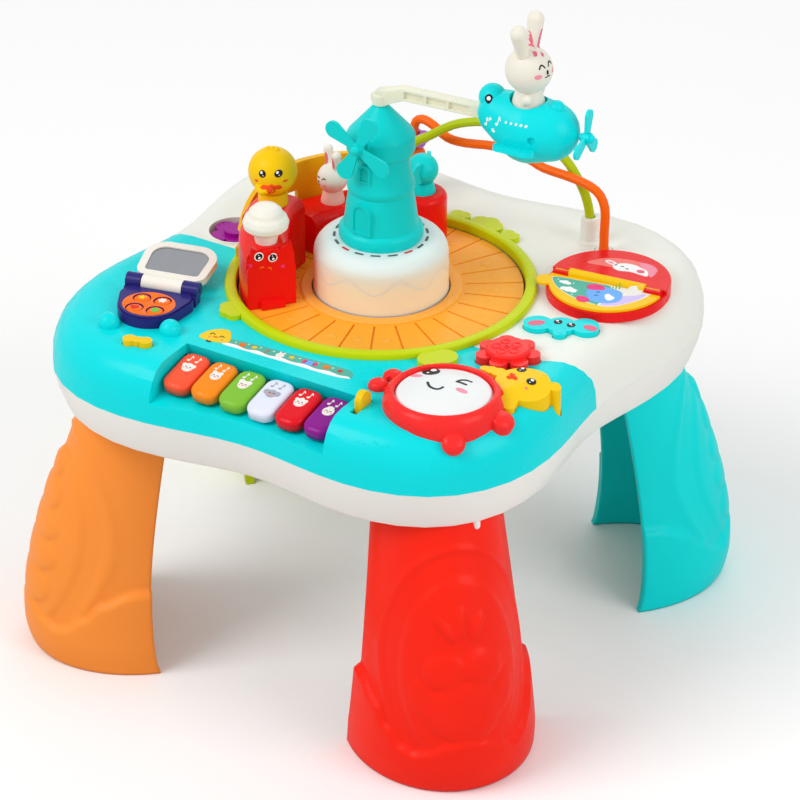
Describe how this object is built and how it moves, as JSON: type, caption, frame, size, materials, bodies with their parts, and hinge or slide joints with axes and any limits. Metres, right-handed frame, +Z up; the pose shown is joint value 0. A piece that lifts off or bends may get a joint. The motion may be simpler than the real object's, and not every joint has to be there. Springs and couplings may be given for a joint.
{
  "type": "musical activity table",
  "caption": "Child's musical activity table: lobed play top on four leg shells, turning train and windmill, flying plane, keys, drum, flip phone, book and bead wires.",
  "frame": {"origin": "on the floor, on the axis of the windmill and the turntable", "axes": "+Z up, -Y towards the keyboard side, +X to the right of a child at the keyboard"},
  "size_m": [0.42, 0.42, 0.5083],
  "materials": {
    "shell_white": "smooth moulded ABS, soft gloss",
    "shell_teal": "smooth moulded ABS, glossy",
    "leg_orange": "moulded polypropylene, satin",
    "leg_red": "moulded polypropylene, satin",
    "leg_teal": "moulded polypropylene, satin",
    "leg_lime": "moulded polypropylene, satin",
    "lime": "glossy moulded plastic",
    "orange": "glossy moulded plastic",
    "orange_deep": "glossy moulded plastic",
    "red": "glossy moulded plastic",
    "teal": "glossy moulded plastic",
    "cream": "translucent moulded plastic",
    "ivory": "glossy moulded plastic",
    "yellow": "glossy moulded plastic",
    "purple": "glossy moulded plastic",
    "violet": "glossy moulded plastic",
    "green": "glossy moulded plastic",
    "white": "glossy moulded plastic",
    "navy": "glossy moulded plastic",
    "pink_white": "glossy moulded plastic",
    "grey_inner": "inner moulded plastic, matte",
    "gear_white": "acetal, matte",
    "dark": "dark plastic, matte",
    "board_green": "circuit board with solder mask",
    "screw_steel": "zinc-plated steel",
    "shaft_steel": "drawn steel rod with a pressed-on plastic gear",
    "mirror": "plastic mirror film",
    "cell_skin": "plain printed sleeve"
  },
  "bodies": {
    "root": {"base_tray": "shell_white", "front_cover": "shell_teal", "rear_cover": "shell_white", "track_ring": "lime", "leg_orange": "leg_orange", "leg_red": "leg_red", "leg_teal": "leg_teal", "leg_lime": "leg_lime", "case_screws": "screw_steel", "battery_door": "shell_white", "battery_cells": "cell_skin", "circuit_board": "board_green", "speaker": "dark", "gear_housing": "grey_inner", "drive_motor": "grey_inner", "cake_dome": "cream", "windmill_tower": "teal", "track_arch": "yellow", "green_wire": "lime", "orange_wire": "orange_deep", "key_frame": "dark", "phone_base": "navy", "drum_body": "red", "book_case": "red"},
    "turntable": {"turntable": "orange", "train_cars": "red", "chimney_cloud": "ivory", "duck_rider": "yellow", "bunny_rider": "pink_white", "elephant_rider": "teal"},
    "flyer": {"flyer_shaft": "shaft_steel", "flyer_arm": "ivory", "plane_body": "teal", "pilot_bunny": "white"},
    "propeller": {"propeller": "teal"},
    "windmill_rotor": {"windmill_rotor": "teal"},
    "drive_pinion": {"drive_pinion": "gear_white"},
    "key_1": {"key_1": "orange_deep"},
    "key_2": {"key_2": "orange"},
    "key_3": {"key_3": "green"},
    "key_4": {"key_4": "white"},
    "key_5": {"key_5": "red"},
    "key_6": {"key_6": "purple"},
    "phone_lid": {"phone_lid": "ivory", "phone_mirror": "mirror"},
    "phone_button_1": {"phone_button_1": "orange"},
    "phone_button_2": {"phone_button_2": "orange"},
    "phone_button_3": {"phone_button_3": "orange"},
    "phone_button_4": {"phone_button_4": "orange"},
    "bow_button": {"bow_button": "yellow"},
    "selector_lever": {"selector_lever": "yellow"},
    "drum_pad": {"drum_pad": "white"},
    "flower_button": {"flower_button": "red"},
    "duck_button": {"duck_button": "yellow"},
    "elephant_button": {"elephant_button": "teal"},
    "book_page": {"book_page": "yellow"},
    "flower_spinner": {"flower_spinner": "purple"},
    "bead_flower": {"bead_flower": "violet"},
    "bead_round": {"bead_round": "orange_deep"},
    "bead_lilac": {"bead_lilac": "violet"}
  },
  "joints": [
    {"name": "turntable_spin", "type": "hinge", "parent": "root", "child": "turntable", "pos_m": [0, 0, 0.266], "axis": [0, 0, 1], "continuous": true},
    {"name": "pinion_spin", "type": "hinge", "parent": "root", "child": "drive_pinion", "pos_m": [0, 0.075, 0.246], "axis": [0, 0, 1], "continuous": true},
    {"name": "flyer_spin", "type": "hinge", "parent": "root", "child": "flyer", "pos_m": [0, 0, 0.3], "axis": [0, 0, 1], "continuous": true},
    {"name": "propeller_spin", "type": "hinge", "parent": "flyer", "child": "propeller", "pos_m": [0.1564, 0.01368, 0.426], "axis": [0.9962, 0.0872, 0], "continuous": true},
    {"name": "rotor_spin", "type": "hinge", "parent": "root", "child": "windmill_rotor", "pos_m": [0, -0.0292, 0.394], "axis": [0, -1, 0], "continuous": true},
    {"name": "key_1_press", "type": "hinge", "parent": "root", "child": "key_1", "pos_m": [-0.058, -0.1533, 0.25912], "axis": [1, 0, 0], "range_deg": [0, 4], "stiffness_Nm_per_rad": 0.35, "springref_deg": -5.73},
    {"name": "key_2_press", "type": "hinge", "parent": "root", "child": "key_2", "pos_m": [-0.0342, -0.1533, 0.25912], "axis": [1, 0, 0], "range_deg": [0, 4], "stiffness_Nm_per_rad": 0.35, "springref_deg": -5.73},
    {"name": "key_3_press", "type": "hinge", "parent": "root", "child": "key_3", "pos_m": [-0.0104, -0.1533, 0.25912], "axis": [1, 0, 0], "range_deg": [0, 4], "stiffness_Nm_per_rad": 0.35, "springref_deg": -5.73},
    {"name": "key_4_press", "type": "hinge", "parent": "root", "child": "key_4", "pos_m": [0.0134, -0.1533, 0.25912], "axis": [1, 0, 0], "range_deg": [0, 4], "stiffness_Nm_per_rad": 0.35, "springref_deg": -5.73},
    {"name": "key_5_press", "type": "hinge", "parent": "root", "child": "key_5", "pos_m": [0.0372, -0.1533, 0.25912], "axis": [1, 0, 0], "range_deg": [0, 4], "stiffness_Nm_per_rad": 0.35, "springref_deg": -5.73},
    {"name": "key_6_press", "type": "hinge", "parent": "root", "child": "key_6", "pos_m": [0.061, -0.1533, 0.25912], "axis": [1, 0, 0], "range_deg": [0, 4], "stiffness_Nm_per_rad": 0.35, "springref_deg": -5.73},
    {"name": "lid_fold", "type": "hinge", "parent": "root", "child": "phone_lid", "pos_m": [-0.124, -0.101, 0.28], "axis": [0.9744, 0.225, 0], "range_deg": [0, 170]},
    {"name": "phone_button_1_press", "type": "slide", "parent": "root", "child": "phone_button_1", "axis": [0, 0, -1], "range_m": [0, 0.0012], "stiffness_N_per_m": 150, "springref_m": -0.0005},
    {"name": "phone_button_2_press", "type": "slide", "parent": "root", "child": "phone_button_2", "axis": [0, 0, -1], "range_m": [0, 0.0012], "stiffness_N_per_m": 150, "springref_m": -0.0005},
    {"name": "phone_button_3_press", "type": "slide", "parent": "root", "child": "phone_button_3", "axis": [0, 0, -1], "range_m": [0, 0.0012], "stiffness_N_per_m": 150, "springref_m": -0.0005},
    {"name": "phone_button_4_press", "type": "slide", "parent": "root", "child": "phone_button_4", "axis": [0, 0, -1], "range_m": [0, 0.0012], "stiffness_N_per_m": 150, "springref_m": -0.0005},
    {"name": "bow_press", "type": "slide", "parent": "root", "child": "bow_button", "axis": [0, 0, -1], "range_m": [0, 0.002], "stiffness_N_per_m": 180, "springref_m": -0.001},
    {"name": "flower_press", "type": "slide", "parent": "root", "child": "flower_button", "axis": [0, 0, -1], "range_m": [0, 0.002], "stiffness_N_per_m": 180, "springref_m": -0.001},
    {"name": "duck_press", "type": "slide", "parent": "root", "child": "duck_button", "axis": [0, 0, -1], "range_m": [0, 0.002], "stiffness_N_per_m": 180, "springref_m": -0.001},
    {"name": "elephant_press", "type": "slide", "parent": "root", "child": "elephant_button", "axis": [0, 0, -1], "range_m": [0, 0.002], "stiffness_N_per_m": 180, "springref_m": -0.001},
    {"name": "drum_press", "type": "slide", "parent": "root", "child": "drum_pad", "axis": [0, 0, -1], "range_m": [0, 0.002], "stiffness_N_per_m": 400, "springref_m": -0.003},
    {"name": "selector_slide", "type": "slide", "parent": "root", "child": "selector_lever", "axis": [0, 1, 0], "range_m": [-0.0056, 0.0016]},
    {"name": "page_fold", "type": "hinge", "parent": "root", "child": "book_page", "pos_m": [0.148, 0.075, 0.2806], "axis": [-0.9925, -0.1219, 0], "range_deg": [0, 150]},
    {"name": "flower_spin", "type": "hinge", "parent": "root", "child": "flower_spinner", "pos_m": [-0.1365, 0.0127, 0.266], "axis": [0, 0, 1], "continuous": true},
    {"name": "bead_stack_slide", "type": "slide", "parent": "root", "child": "bead_round", "axis": [0, 0, 1], "range_m": [0, 0.003]},
    {"name": "bead_flower_slide", "type": "slide", "parent": "root", "child": "bead_flower", "axis": [0, 0, 1], "range_m": [0, 0.003]},
    {"name": "bead_lilac_slide", "type": "slide", "parent": "root", "child": "bead_lilac", "axis": [0, 0, 1], "range_m": [0, 0.003]}
  ],
  "couplings": [
    {"joint": "pinion_spin", "follows": "turntable_spin", "ratio": 7},
    {"joint": "flyer_spin", "follows": "turntable_spin", "ratio": -1.4},
    {"joint": "bead_flower_slide", "follows": "bead_stack_slide", "ratio": 1}
  ]
}
